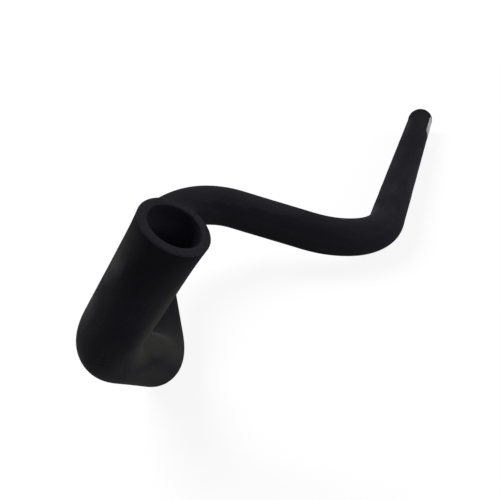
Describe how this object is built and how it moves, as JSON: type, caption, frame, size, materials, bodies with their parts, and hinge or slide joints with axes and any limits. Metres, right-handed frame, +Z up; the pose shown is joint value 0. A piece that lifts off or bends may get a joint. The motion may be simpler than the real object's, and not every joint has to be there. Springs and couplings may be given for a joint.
{
  "type": "heater hose",
  "caption": "Moulded rubber heater hose with four bends in different planes, open and cut square at both ends.",
  "frame": {"origin": "on the bench, under the middle of the box that the lying hose fills", "axes": "+Y along the straight long leg towards the far end, +Z up from the bench"},
  "size_m": [0.1542, 0.5436, 0.1236],
  "materials": {
    "rubber": "dull black cured rubber with a fine lengthwise texture"
  },
  "bodies": {
    "root": {"hose": "rubber"}
  },
  "joints": []
}
